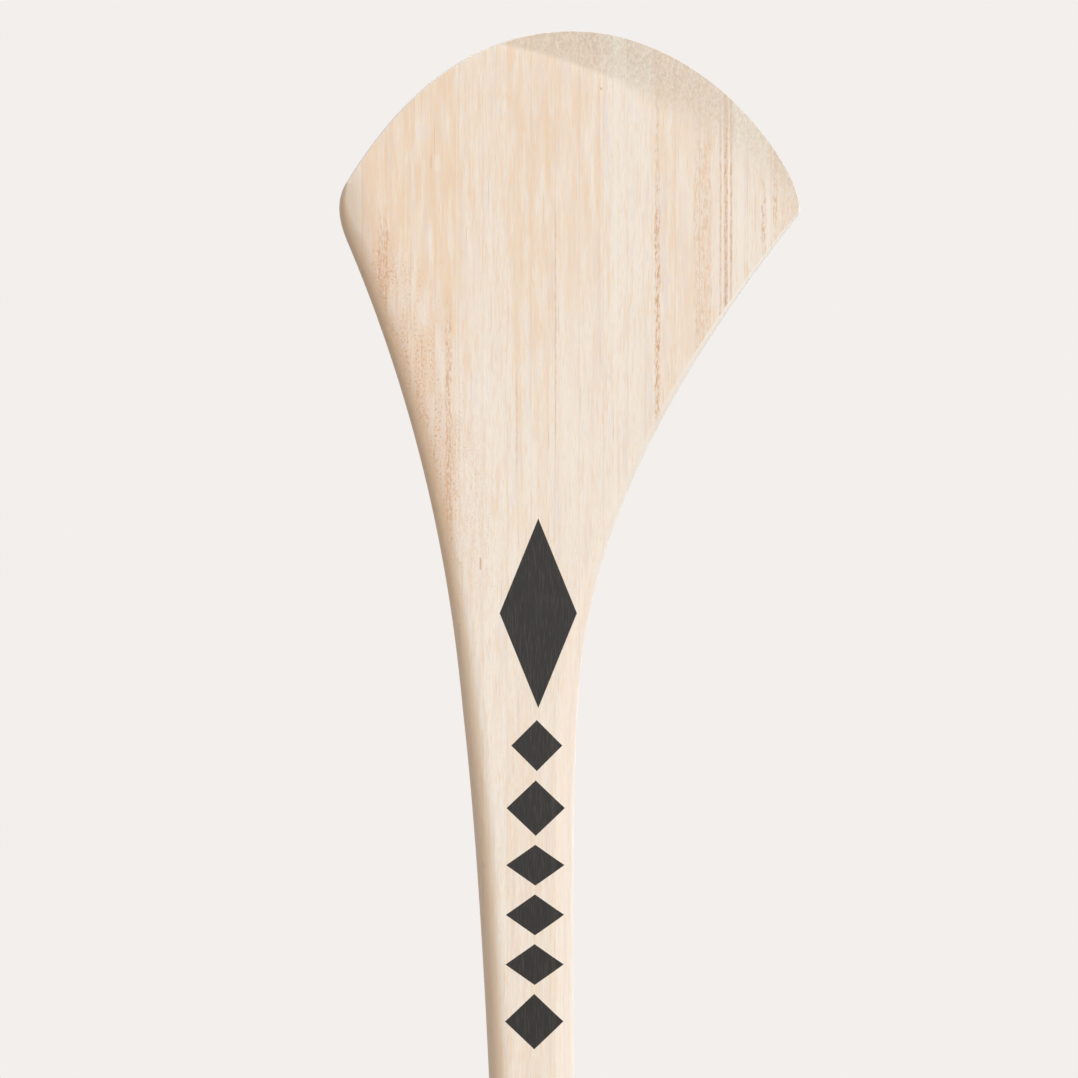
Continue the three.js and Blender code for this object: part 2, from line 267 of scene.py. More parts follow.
class Wood:  # where a spot lies in the stick, the patterns of its look, and its colour so far
    def __init__(self, graph, colour):
        self.graph = graph
        self.colour = colour
        self.x, self.y, self.z = graph.spot()
        self.across = self.x * acrossGrain.x + self.z * acrossGrain.z
        self.along = self.x * alongGrain.x + self.z * alongGrain.z
        self.normal = graph.node("ShaderNodeNewGeometry", {}, {}, "Normal")
        self.facing = graph.dot(self.normal, alongGrain)
        self.sideways = graph.dot(self.normal, acrossGrain)
        self.findStrip()
        width, length = bambooLook["waverSize"]
        place = graph.join(self.across / width + self.shift, self.y / width, self.along / length)
        self.bent = self.across + (graph.noise(place) - 0.5) * bambooLook["waver"]
        self.patterns = {name: self.fibres(*size) for name, size in fibreSizes.items()}

    def findStrip(self):  # which strip it is, with three chances and a shift of the patterns for each
        self.stripWidth = grain["stripWidth"] * perMetre
        counted = (self.across - grain["seamAtButt"] * perMetre) / self.stripWidth
        index = counted.floor().atLeast(grain["firstSeam"] - 1).atMost(grain["lastSeam"])
        values = {"W": index + bambooLook["chanceSeed"]}
        settings = dict(noise_dimensions="1D")
        chance = self.graph.node("ShaderNodeTexWhiteNoise", settings, values, "Color")
        self.chances = self.graph.split(chance)
        self.shift = index * bambooLook["stripShift"]
        self.inStrip = counted - index

    def fibres(self, width, length, detail, roughness):  # streaks that waver a little on their way up
        across = self.bent / width + self.shift
        place = self.graph.join(across, self.y / width, self.along / length + self.shift)
        return self.graph.noise(place, detail, roughness)

    def spots(self, width, length, detail, roughness):
        place = self.graph.join(self.across / width + self.shift, self.y / width, self.along / length)
        return self.graph.noise(place, detail, roughness)

    def bundles(self, width, length, thick, density):  # dashes along the grain, dots on a cut across it
        across = self.across / width + self.shift
        place = self.graph.join(across, self.y / width, self.along / length + self.shift)
        values = {"Vector": place, "Scale": 1.0, "Randomness": 1.0}
        spots = self.graph.node("ShaderNodeTexVoronoi", dict(feature="F1"), values, "Distance")
        lot = self.graph.split(Wire(self.graph, spots.socket.node.outputs["Color"]))[0]
        return spots.step(thick * 0.5, thick, 1.0, 0.0) * (lot < density)

    def cover(self, bands, drift=None):  # how strongly a group of bands covers the spot
        place = self.across if drift is None else self.across + drift
        covered = None
        for across, width, low, high, strength in bands["rows"]:
            inWidth = place.near(across, width, bands["soft"])
            inLength = self.along.near((low + high) / 2, high - low - bands["fade"], bands["fade"])
            shown = inWidth * inLength * strength
            covered = shown if covered is None else covered.atLeast(shown)
        return covered

    def lay(self, name, share):  # lays a share of a tint over the colour so far
        self.colour = self.graph.blend(share, self.colour, tint(name))


def addStreaks(wood):
    wood.lay("light", wood.patterns["broad"].step(0.36, 0.66) * 0.75)
    wood.lay("amber", wood.cover(warmBands) * wood.patterns["blotch"].step(0.25, 0.7, 0.45, 1.3))
    for pattern, name, low, high, strength, byStrip in streakLayers:
        share = wood.patterns[pattern].step(low, high)
        wood.lay(name, share * (strength + byStrip * wood.chances[0]))
    wood.lay("light", wood.cover(paleBands))
    wood.lay("light", wood.cover(nodeLights))
    wood.lay("fleck", wood.cover(nodeShades))


# The dark vascular bundles of the cane, more of them on the side of a strip that lay under its skin
bundleLook = dict(width=0.7, length=26, thick=0.26, density=0.12, atSkin=0.35, share=0.2)


def addBundles(wood):
    look = bundleLook
    _, second, third = wood.chances
    skinSide = (second < 0.5) * (1 - 2 * wood.inStrip) + wood.inStrip
    density = look["density"] + look["atSkin"] * skinSide.step(0.72, 1.0) * third.step(0.45, 0.9)
    bundles = wood.bundles(look["width"], look["length"], look["thick"], density)
    wood.lay("umber", bundles * look["share"])
    return bundles


fleckLook = dict(wanderSize=(8, 4), wander=1.5, lineWander=0.5, cool=0.7, warm=0.1)


def addFlecks(wood):
    look = fleckLook
    width, length = look["wanderSize"]
    place = wood.graph.join(wood.shift, wood.across / width, wood.along / length)
    wander = wood.graph.noise(place, 3.0, 0.6) - 0.5
    patch = wood.cover(fleckBands, wander * look["wander"])
    specks = wood.patterns["specks"]
    wood.lay("lilac", specks.step(0.45, 0.34) * patch * look["cool"])
    wood.lay("amber", patch * look["warm"])
    specks = specks.step(0.47, 0.6)
    wood.lay("fleck", (0.05 + 0.95 * specks) * patch)
    wood.lay("fleck", (0.4 + 0.6 * specks) * wood.cover(fibreLines, wander * look["lineWander"]))


# The heel's side of the face carries painted shade, deepest at its edge and at the heel's tip, with the
# wood's own brown dots in it: its edge runs in from the shaft along a curve
heelPaintedShade = dict(
    # shade and tipPaintedShade set painted shade; dotted and dots place the wood's own dots
    across=-31.9, along=640.0, spread=0.000946, shade=(1.0, 13.0, 0.34), dotted=(5.0, 22.0, 0.8),
    start=(715.0, 785.0), end=(858.0, 842.0), dotsEnd=(838.0, 822.0), dots=(0.4, 0.8, 2.0, 0.6),
    tipAcross=(-60.0, -68.0), tipStart=(800.0, 825.0), tipPaintedShade=0.5,
)


def addHeelPaintedShade(wood):
    look = heelPaintedShade
    rise = wood.along - look["along"]
    fromHeel = wood.across - look["across"] + rise * rise * look["spread"]
    beforeEnd = wood.along.step(*look["end"])
    onHeel = wood.along.step(*look["start"]) * beforeEnd
    dots = wood.spots(*look["dots"])
    dotted = fromHeel.step(*look["dotted"], 0.0) * onHeel * wood.patterns["blotch"].step(0.25, 0.6)
    dotted = dotted * wood.along.step(*look["dotsEnd"])
    # painted shade, deepening towards the heel's edge
    wood.lay("fleck", fromHeel.step(*look["shade"], 0.0) * onHeel)
    wood.lay("fleck", dotted * dots.step(0.5, 0.66))
    wood.lay("lilac", dotted * dots.step(0.46, 0.32))
    # greyer painted shade at the heel's tip
    atTip = wood.across.step(*look["tipAcross"]) * wood.along.step(*look["tipStart"]) * beforeEnd
    wood.lay("endGrain", atTip * look["tipPaintedShade"])


def addPaintedSideShading(wood):  # painted light and shade, by the way the surface faces
    facing, sideways = wood.facing, wood.sideways
    onHeel = sideways.step(-0.15, -0.75) * facing.step(0.2, -0.02)
    # warm painted shade on the flank that faces the heel, streaked with the grain, and darker painted shade
    # at its very edge
    wood.lay("amber", onHeel * (0.5 + 0.4 * wood.patterns["medium"]))
    wood.lay("umber", sideways.step(-0.6, -1.0) * onHeel * 0.12)
    # painted light on the toe's flank, which faces the light, and on the heel's side of the dome's edge
    wood.lay("light", sideways.step(0.3, 0.7) * facing.step(-0.1, -0.5) * 0.8)
    wood.lay("light", sideways.step(-0.2, -0.5) * facing.step(0.3, 0.6) * 0.8)


# The bevel round the tip cuts across the grain. Its radius and place are in metres.
bevel = dict(
    radius=0.1467, centreReach=-0.0315, centreDrop=0.1468, width=0.012, depth=0.003, crease=0.001,
    flatShare=0.65,
)

# The cut ends look greyer and mottled. The inner edge of their tone is crisp at the tip and fades
# towards the toe.
cutLook = dict(
    mottle=(0.7, 1.3, 3.0, 0.65), mottleShare=0.45, pores=(0.5, 1.4, 0.5, 0.6), poreShare=0.2,
    rough=1.5, inner=-0.5, innerFade=4.5, outer=1.2, outerFade=3.3, softer=(-3.0, 28.0),
    deeper=(0.0, 9.0, 0.72), weaker=(-5.0, 40.0, 1.0, 0.78),
)

# Strips whose cut ends are paler and greener
paleEnds = bands(
    0.5, 10.0, (2.0, 3.5, 830, 900, 0.4), (5.55, 3.4, 830, 900, 0.9), (10.9, 6.9, 830, 900, 0.25),
    (41.2, 8.6, 830, 900, 0.7),
)


def cutShare(wood, mottle):  # how much of the spot's colour is the cut ends'
    look = cutLook
    awayX = wood.x - bevel["centreReach"] * perMetre
    awayZ = wood.z - (grain["length"] - bevel["centreDrop"]) * perMetre
    into = (awayX * awayX + awayZ * awayZ).root() - bevel["radius"] * perMetre
    into = into + (mottle - 0.5) * look["rough"]
    soft = wood.across.step(*look["softer"])
    inner = look["inner"] - look["innerFade"] * soft
    outer = look["outer"] + look["outerFade"] * soft
    onBevel = into.step(inner, outer) * into.step(*look["deeper"]) * wood.facing.step(-0.3, -0.05)
    cut = onBevel.atLeast(wood.facing.step(0.3, 0.45)) * wood.facing.step(0.45, 0.7, 1.0, 0.4)
    return cut * wood.across.step(*look["weaker"]) * wood.sideways.step(-0.5, -0.2)


def addCutEnds(wood):
    look = cutLook
    blend = wood.graph.blend
    mottle = wood.spots(*look["mottle"])
    pores = wood.bundles(*look["pores"])
    cut = cutShare(wood, mottle)
    ends = blend(wood.cover(paleEnds), tint("endGrain"), tint("paleEnd"))
    ends = blend(mottle.step(0.36, 0.64) * look["mottleShare"], ends, wood.colour)
    ends = blend(pores * look["poreShare"], ends, tint("umber"))
    wood.colour = blend(cut, wood.colour, ends)
    return cut, pores


# The rounded edges of the bas carry a painted highlight, paler still where they turn away from the light
rimHighlightLook = dict(start=(778.0, 822.0), lit=(-20.0, 20.0), share=0.85)


def addPaintedRimHighlight(wood):
    turned = abs(wood.graph.split(wood.normal)[1])
    rounded = turned.step(0.92, 0.85) * turned.step(0.05, 0.25) * wood.along.step(*rimHighlightLook["start"])
    onRim = rounded * wood.facing.step(0.3, 0.5).atLeast(wood.sideways.step(0.3, 0.6))
    lit = wood.across.step(*rimHighlightLook["lit"]) * wood.facing.step(-0.3, 0.3)
    # rim is the painted highlight's colour
    rim = wood.graph.blend(lit, tint("rim"), tint("light"))
    wood.colour = wood.graph.blend(onRim * rimHighlightLook["share"], wood.colour, rim)


def addGlue(wood):  # the lines between the strips, darker beside some of them
    edge = (0.5 - abs(wood.inStrip - 0.5)) * wood.stripWidth
    glue = edge.step(0.03, 0.12, 1.0, 0.0) * (0.04 + 0.15 * wood.chances[2])
    wood.lay("umber", glue)
    return glue


# Plain printed diamonds down the front of the neck and shaft: across, middle, half width, half height
diamonds = [
    (-16.6, 730.5, 10.6, 26.0), (-17.0, 694.5, 7.0, 7.0), (-17.3, 677.5, 8.0, 7.6),
    (-17.4, 662.0, 8.0, 5.6), (-17.5, 648.5, 8.0, 5.6), (-17.6, 635.0, 8.0, 5.6),
    (-17.7, 619.5, 8.0, 7.6),
]


def addInk(wood):
    inked = None
    for across, middle, halfWidth, halfHeight in diamonds:
        reach = abs(wood.across - across) / halfWidth + abs(wood.along - middle) / halfHeight
        inside = reach.step(0.985, 1.0, 1.0, 0.0)
        inked = inside if inked is None else inked.atLeast(inside)
    inked = inked * (wood.y < -1.0)
    streaks = wood.patterns["fine"].step(0.45, 0.7) * 0.6
    ink = wood.graph.blend(streaks, tint("ink"), tint("inkStreak"))
    wood.colour = wood.graph.blend(inked, wood.colour, ink)
    return inked


def bamboo(name):
    look = bambooLook
    material, graph, inputs = newMaterial(name, look)
    wood = Wood(graph, tone(*bambooTones[name]))
    addStreaks(wood)
    bundles = addBundles(wood)
    addFlecks(wood)
    addHeelPaintedShade(wood)
    addPaintedSideShading(wood)
    cut, pores = addCutEnds(wood)
    addPaintedRimHighlight(wood)
    glue = addGlue(wood)
    inked = addInk(wood)
    plug(wood.colour, inputs["Base Color"])
    fine, medium = wood.patterns["fine"], wood.patterns["medium"]
    rough = look["roughness"] + look["fineRoughness"] * (fine - 0.5) + look["cutRoughness"] * cut
    plug(rough - look["inkSmoothness"] * inked, inputs["Roughness"])
    height = fine * 0.6 + medium * 0.4 - bundles * 0.25 - cut * pores * 0.5 - glue
    plugBump(height, look, inputs)
    return material


materials = {name: bamboo(name) for name in bambooTones}
print("bamboo finished")


# The wooden body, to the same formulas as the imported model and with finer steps
bas = dict(
    length=0.189, thickness=0.012, heelReach=0.0471, toeReach=0.082, tipReach=0.0179,
    domeRound=0.0005, domeShare=0.995, flatFaceLength=0.105, thinningLength=0.15,
)
shaft = dict(
    neckWidth=0.0306, neckThickness=0.02, width=0.022, top=0.52, bottom=0.4, round=0.006,
    taperHandleShares=((0, 0.5), (1, 0.5)), flareHandleShares=((0, 0.33), (0.15, 0.74)),
)
handle = dict(width=0.026, thickness=0.023, round=0.0115, roundLimitShare=0.98, ringHeights=(0.08, 0.12))
hook = dict(
    reach=0.044, noseHeight=0.02, underside=0.0268, slope=0.0026, cornerRound=0.005,
    crotchReach=0.0255, blendHeight=0.017, crotchHandleShares=((0.42, 0.08), (0.95, 0.45)),
    flatBack=0.0015, flatReach=0.0073, plainDrop=0.0054, plainHandleShares=((0.05, 0.4), (0.45, 1)),
    noseDrop=0.0136, noseHandleShares=((0.45, 0), (0.87, 0.4)), capThickness=0.0018, wrap=0.0016,
    gap=0.0003,
)
heelSide = dict(
    reach=bas["heelReach"], tipReach=-bas["tipReach"], flankEndShares=(0.921, 0.292),
    cornerShares=(1, 0.241), domeStartShares=(0.917, 0.2095),
    flankHandleShares=((0.05, 0.129), (0.107, 0.519)), domeHandleShares=((0.241, 0.563), (0.55, 1)),
    flankRound=0.005,
)
toeSide = dict(
    reach=bas["toeReach"], tipReach=bas["tipReach"], flankEndShares=(0.9727, 0.2767),
    cornerShares=(0.9805, 0.2725), domeStartShares=(0.9805, 0.2667),
    flankHandleShares=((0.033, 0.194), (0.096, 0.492)), domeHandleShares=((-0.01, 0.22), (0.39, 1)),
    flankRound=0.0008,
)
steps = dict(
    taper=40, flare=70, flank=100, corner=24, dome=120, nose=12, crotch=24, plainEnd=40, noseEnd=60,
    quarter=8, face=56, cap=10,
)


def ease(value, low, high):
    share = np.clip((value - low) / (high - low), 0, 1)
    return share * share * (3 - 2 * share)


def bezier(points, shares):
    rows = [np.array(point, float) + np.zeros((len(shares), 2)) for point in points]
    while len(rows) > 1:
        rows = [a + (b - a) * shares[:, None] for a, b in zip(rows, rows[1:])]
    return rows[0]


def curveThrough(start, end, handleShares, count, lastShare=1.0):
    start, end = np.array(start), np.array(end)
    handles = [start + (end - start) * np.array(share) for share in handleShares]
    return bezier([start, *handles, end], np.linspace(0, lastShare, count + 1)[1:])


def sideOfBas(side):  # points as (reach, height), and how far the edge's rounding reaches in at each
    length = grain["length"]

    def onBas(shares):
        return side["reach"] * shares[0], length - bas["length"] * shares[1]

    handleTop = (handle["width"] / 2, shaft["bottom"])
    slim = (shaft["width"] / 2, shaft["top"])
    neck = (shaft["neckWidth"] / 2, length - bas["length"])
    flankEnd, domeStart = onBas(side["flankEndShares"]), onBas(side["domeStartShares"])
    tip = (side["tipReach"], length)
    taper = curveThrough(handleTop, slim, shaft["taperHandleShares"], steps["taper"])
    flare = curveThrough(slim, neck, shaft["flareHandleShares"], steps["flare"])
    flank = curveThrough(neck, flankEnd, side["flankHandleShares"], steps["flank"])
    cornerSteps = np.linspace(0, 1, steps["corner"] + 1)[1:]
    corner = bezier([flankEnd, onBas(side["cornerShares"]), domeStart], cornerSteps)
    dome = curveThrough(domeStart, tip, side["domeHandleShares"], steps["dome"], bas["domeShare"])
    runs = [
        (taper, handle["round"], shaft["round"]),
        (flare, shaft["round"], shaft["round"]),
        (flank, shaft["round"], side["flankRound"]),
        (corner, side["flankRound"], bas["domeRound"]),
        (dome, bas["domeRound"], bas["domeRound"]),
    ]
    rounds = [np.linspace(start, end, len(places) + 1)[1:] for places, start, end in runs]
    places = np.vstack([places for places, _, _ in runs])
    return places, np.concatenate(rounds) / outward(places)[:, 0]


def sideOfHook():
    nose = (hook["reach"], hook["noseHeight"])
    low = hook["underside"] - hook["slope"] / 2
    under = (hook["reach"] - hook["cornerRound"], low)
    crotch = (hook["crotchReach"], hook["underside"] + hook["slope"] / 2)
    top = (handle["width"] / 2, crotch[1] + hook["blendHeight"])
    corner = np.linspace(0, 1, steps["nose"] + 1)[1:]
    return np.vstack([
        [(hook["reach"], 0)],
        np.linspace((hook["reach"], 0), nose, steps["crotch"])[1:],
        bezier([nose, (hook["reach"], low), under], corner),
        np.linspace(under, crotch, steps["nose"])[1:],
        curveThrough(crotch, top, hook["crotchHandleShares"], steps["crotch"]),
    ])


def outward(places):
    before = np.vstack([places[:1], places[:-1]])
    after = np.vstack([places[1:], places[-1:]])
    run = (after - before) / np.linalg.norm(after - before, axis=1)[:, None]
    return np.column_stack([run[:, 1], -run[:, 0]])


def halfThickness(height):
    atNeck = ease(height, shaft["bottom"], shaft["top"])
    thick = handle["thickness"] + (shaft["neckThickness"] - handle["thickness"]) * atNeck
    flatStart = grain["length"] - bas["flatFaceLength"]
    atFlat = ease(height, flatStart - bas["thinningLength"], flatStart)
    thick = thick + (bas["thickness"] - thick) * atFlat
    depth = np.minimum(grain["length"] - height, bas["domeRound"]) / bas["domeRound"]
    return thick / 2 * np.sqrt(1 - (1 - depth) ** 2)


def sectionRing(heel, heelRound, toe, toeRound, half):  # heel and toe are (reach, height)
    heel = np.array((-heel[0], heel[1]))
    run = np.array(toe) - heel
    most = np.linalg.norm(run) / 2 * handle["roundLimitShare"]
    run = run / np.linalg.norm(run)
    angles = np.linspace(-math.pi / 2, math.pi / 2, 2 * steps["quarter"] + 1)

    def arc(end, size, inward, turn):
        flat = end + run * (size * (inward + np.cos(angles + turn)))[:, None]
        return np.column_stack([flat[:, 0], half * np.sin(angles + turn), flat[:, 1]])

    toeArc = arc(np.array(toe), min(toeRound, most), -1, 0)
    heelArc = arc(heel, min(heelRound, most), 1, math.pi)
    across = np.linspace(0, 1, steps["face"] + 1)[1:-1, None]
    backFace = toeArc[-1] + (heelArc[0] - toeArc[-1]) * across
    frontFace = heelArc[-1] + (toeArc[0] - heelArc[-1]) * across
    return np.vstack([toeArc, backFace, heelArc, frontFace])


def basRings():
    heel, heelRound = sideOfBas(heelSide)
    toe, toeRound = sideOfBas(toeSide)
    rings = []
    for i in range(len(heel)):
        half = float(halfThickness((heel[i][1] + toe[i][1]) / 2))
        rings.append(sectionRing(heel[i], heelRound[i], toe[i], toeRound[i], half))
    return rings


def hookRings(grown, *heights):  # rings up the hook, and then round the straight handle at the heights
    side = sideOfHook()
    heel = side + outward(side) * grown
    heel[0][1] = 0
    straight = handle["width"] / 2 + grown
    heel = np.vstack([heel, [(straight, height) for height in heights]])
    size = handle["round"] + grown
    half = handle["thickness"] / 2 + grown
    return [sectionRing(point, size, (straight, point[1]), size, half) for point in heel]


def endHeight(x):  # height of the butt's curved end over a place across it
    plain = (handle["width"] / 2 + hook["gap"] + hook["wrap"], hook["plainDrop"])
    nose = (-(hook["reach"] + hook["gap"] + hook["wrap"]), hook["noseDrop"])
    flatBack, flatReach = (hook["flatBack"], 0), (-hook["flatReach"], 0)
    curve = np.vstack([
        [plain],
        curveThrough(plain, flatBack, hook["plainHandleShares"], steps["plainEnd"]),
        [flatReach],
        curveThrough(flatReach, nose, hook["noseHandleShares"], steps["noseEnd"]),
    ])[::-1]
    return np.interp(x, curve[:, 0], curve[:, 1])


def shrunk(ring, share):  # draws a ring of the butt in towards the line along its middle
    spine = np.clip(ring[:, 0], handle["round"] - hook["reach"], handle["width"] / 2 - handle["round"])
    x = spine + (ring[:, 0] - spine) * share
    return np.column_stack([x, ring[:, 1] * share, ring[:, 2]])


def raised(ring, height):
    return np.column_stack([ring[:, 0], ring[:, 1], height + np.zeros(len(ring))])


def bevelled(points):
    length = grain["length"]
    away = np.hypot(points[:, 0] - bevel["centreReach"], points[:, 2] - length + bevel["centreDrop"])
    inside = (away - bevel["radius"]) / bevel["crease"]
    reach = bevel["crease"] * np.logaddexp(0, inside) / bevel["width"]
    sunk = bevel["depth"] * (bevel["flatShare"] * reach + (1 - bevel["flatShare"]) * reach ** 2)
    sunk = sunk * (points[:, 2] > length - bas["length"] / 2)
    most = bas["thickness"] / 2 - sunk
    points[:, 1] = np.where(sunk > 0, np.clip(points[:, 1], -most, most), points[:, 1])
    return points


def skinOver(rings, looped=False):  # quads between rings, which stay open at their ends unless looped
    size, count = len(rings[0]), len(rings)
    faces = []
    for ring in range(count if looped else count - 1):
        here, there = ring * size, (ring + 1) % count * size
        for i in range(size):
            following = (i + 1) % size
            faces.append((here + i, here + following, there + following, there + i))
    return np.vstack(rings), faces


def faceOut(mesh, weld=None):  # turns the faces outwards, once points that are nearer than weld are one
    body = bmesh.new()
    body.from_mesh(mesh)
    if weld:
        bmesh.ops.remove_doubles(body, verts=body.verts, dist=weld)
    bmesh.ops.recalc_face_normals(body, faces=body.faces)
    body.to_mesh(mesh)
    body.free()


def meshFrom(name, points, faces):
    mesh = bpy.data.meshes.new(name)
    mesh.from_pydata(points.tolist(), [], faces)
    faceOut(mesh, weld=1e-7)
    return mesh


def addPiece(name, mesh, node, material, sharpDegrees=35):
    mesh.shade_smooth()
    mesh.set_sharp_from_angle(angle=math.radians(sharpDegrees))
    mesh.materials.clear()
    mesh.materials.append(material)
    piece = addObject(name, mesh)
    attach(piece, "root")
    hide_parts(node)


def woodBody():
    rings = hookRings(0, *handle["ringHeights"])
    wall = hook["capThickness"] + hook["gap"]
    foot = rings[0]
    caps = [shrunk(foot, share) for share in np.linspace(0, 1, steps["cap"] + 1)]
    caps = [raised(ring, endHeight(ring[:, 0]) + wall) for ring in caps]
    for ring in rings:  # the straight sides start from the curved end
        end = endHeight(ring[:, 0]) + wall
        share = np.minimum(ring[:, 2] / hook["noseHeight"], 1)
        ring[:, 2] = np.where(share < 1, end + (hook["noseHeight"] - end) * share, ring[:, 2])
    basPart = [bevelled(ring) for ring in basRings()]
    points, faces = skinOver([*caps, *rings[1:], *basPart])
    size = len(foot)
    last = len(points) - size
    faces.append(tuple(range(last, last + size)))
    return meshFrom("woodBody", points, faces)


def islandsOf(body):
    left = set(body.verts)
    while left:
        found = [left.pop()]
        for vert in found:
            for edge in vert.link_edges:
                other = edge.other_vert(vert)
                if other in left:
                    left.remove(other)
                    found.append(other)
        yield found


def cutAt(body, distance, keepBelow):
    everything = body.verts[:] + body.edges[:] + body.faces[:]
    bmesh.ops.bisect_plane(
        body, geom=everything, dist=1e-8, plane_co=acrossGrain * distance, plane_no=acrossGrain,
        clear_outer=keepBelow, clear_inner=not keepBelow,
    )
    rim = [edge for edge in body.edges if edge.is_boundary]
    bmesh.ops.holes_fill(body, edges=rim, sides=0)


def addLength(strip, island, node):  # one unbroken length of a strip
    kept = set(vert.index for vert in island)
    part = strip.copy()
    part.verts.ensure_lookup_table()
    dropped = [vert for vert in part.verts if vert.index not in kept]
    bmesh.ops.delete(part, geom=dropped, context="VERTS")
    mesh = bpy.data.meshes.new("bamboo_" + node)
    part.to_mesh(mesh)
    part.free()
    addPiece("bamboo_" + node, mesh, node, materials[slotOf[node]])


def addStrips():
    rest = bmesh.new()
    rest.from_mesh(woodBody())
    first, last = grain["firstSeam"], grain["lastSeam"]
    for number, seam in enumerate(range(first, last + 2), start=1):
        strip = rest.copy()
        if seam <= last:
            distance = grain["seamAtButt"] + seam * grain["stripWidth"]
            cutAt(strip, distance, True)
            cutAt(rest, distance, False)
        islands = sorted(islandsOf(strip), key=lambda found: -max(vert.co.z for vert in found))
        strip.verts.index_update()
        for order, island in enumerate(islands):
            node = f"strip_{number:02d}"
            if order:
                isHook = min(vert.co.x for vert in island) < -handle["width"] / 2
                node += "_hook" if isHook else "_handle"
            addLength(strip, island, node)
        strip.free()
    rest.free()


addStrips()
print("strips cut")


# Grip: cloth with a fine weave, a pull along it and a little soil, in millimetres along and across it
gripLook = dict(
    # shade darkens the soil and is the painted shade along the tape's lapping edges; cool is the white
    # cloth with painted bluish shade, for the butt's pad
    white=(234, 240, 244), shade=(219, 226, 230), cool=(226, 234, 243), mark=(58, 190, 180),
    roughness=0.62, specular=0.3, weave=9.0, weaveDepth=0.06, pull=(9, 0.7), pullDepth=0.7,
    soil=(14, 6), soilSeed=4.0, soilShare=0.35, soilRoughness=0.2, bump=(0.3, 0.0002),
    edgeWidth=2.2, edgeShare=0.35, markAcross=9.5,
)

# A run of diamonds printed along the tape, one large and the rest small, in millimetres along it
gripRun = dict(
    period=296.0, start=203.0, large=6.5, halfLarge=(6.5, 4.2), smallStart=17.0, smallEnd=62.0,
    spacing=7.5, halfSmall=(3.2, 2.6),
)


def fraction(value):
    return value - value.floor()


def gripMarks(along, across):
    run = gripRun
    here = fraction((along - run["start"]) / run["period"]) * run["period"]
    large = abs(here - run["large"]) / run["halfLarge"][0] + abs(across) / run["halfLarge"][1]
    beside = abs(fraction((here - run["smallStart"]) / run["spacing"]) - 0.5) * run["spacing"]
    small = beside / run["halfSmall"][0] + abs(across) / run["halfSmall"][1]
    inRun = (here < run["smallEnd"]) * (run["smallStart"] - here < 0.0)
    return large.step(0.97, 1.0, 1.0, 0.0).atLeast(small.step(0.96, 1.0, 1.0, 0.0) * inRun)


def clothFinish(inputs, colour, marks, along, across):
    look = gripLook
    graph = along.graph
    weave = (along * look["weave"]).sine() * (across * look["weave"]).sine()
    pull = graph.noise(graph.join(along / look["pull"][0], across / look["pull"][1], 0.0), 3.0)
    place = graph.join(along / look["soil"][0], across / look["soil"][1], look["soilSeed"])
    soil = graph.noise(place, 3.0)
    colour = graph.blend(soil.step(0.5, 0.75) * look["soilShare"], colour, tone(*look["shade"]))
    if marks is not None:
        colour = graph.blend(marks, colour, tone(*look["mark"]))
    plug(colour, inputs["Base Color"])
    plug(look["roughness"] + look["soilRoughness"] * (soil - 0.5), inputs["Roughness"])
    height = weave * look["weaveDepth"] + pull * look["pullDepth"]
    plugBump(height, look, inputs)


def tapeMaterial():
    look = gripLook
    material, graph, inputs = newMaterial("grip_tape", look)
    along, across = [
        graph.node("ShaderNodeAttribute", dict(attribute_name=name), {}, "Fac") * perMetre
        for name in ("tapeAlong", "tapeAcross")
    ]
    # painted shade along the low edge of each turn, where it laps over the turn below
    edge = across.step(0.0, look["edgeWidth"], 1.0, 0.0)
    colour = graph.blend(edge * look["edgeShare"], tone(*look["white"]), tone(*look["shade"]))
    clothFinish(inputs, colour, gripMarks(along, across - look["markAcross"]), along, across)
    return material


# The cloth that doesn't wind up the handle is measured along a slant across its front
slant = dict(degrees=12.5, markStart=12.0, markHeight=33.5)


def wrapMaterial(name, colour, marked):
    material, graph, inputs = newMaterial(name, gripLook)
    x, y, z = graph.spot()
    angle = math.radians(slant["degrees"])
    along = math.cos(angle) * x - math.sin(angle) * z
    across = math.cos(angle) * z + math.sin(angle) * x
    marks = None
    if marked:
        fromStart = gripRun["start"] + slant["markStart"] - along
        marks = gripMarks(fromStart, across - slant["markHeight"]) * (y < 0.0)
    clothFinish(inputs, tone(*colour), marks, along + y, across)
    return material


materials["grip_tape"] = tapeMaterial()
# The butt's pad is the same white cloth in the cool tone, which is painted bluish shade
for name, colour in (("hook_wrap", "white"), ("butt_pad", "cool"), ("finish_band", "white")):
    materials[name] = wrapMaterial(name, gripLook[colour], name == "hook_wrap")

# The wound tape: how it is counted out, and the sizes that the node group takes
tape = dict(
    firstTurn=0.5, turns=18.6, stepsPerTurn=96, section=40, outerShare=0.6, widens=(-0.1, 0.45),
    laps=(0.8, 1.15), weld=0.000002,
)
tapeSizes = dict(
    pitch=0.0179, lap=0.007, lapEdge=0.0003, fall=0.0034, stacked=1.08, thickness=0.00075,
    first=0.0395, bottom=0.041, top=0.3715, leastWidth=0.0012, base=0.0003, onWrap=0.0007,
    wrapTop=0.0583, wrapFall=0.0017, edgeRound=0.0006, endRound=60.0, wander=0.0024,
    wanderByTurn=2.3, crumple=0.0003, crumpleByTurn=9.0, crumpleByHeight=160.0, sideTurn=5.0,
    seed=7.0, radius=handle["thickness"] / 2, flat=handle["width"] / 2 - handle["round"],
)


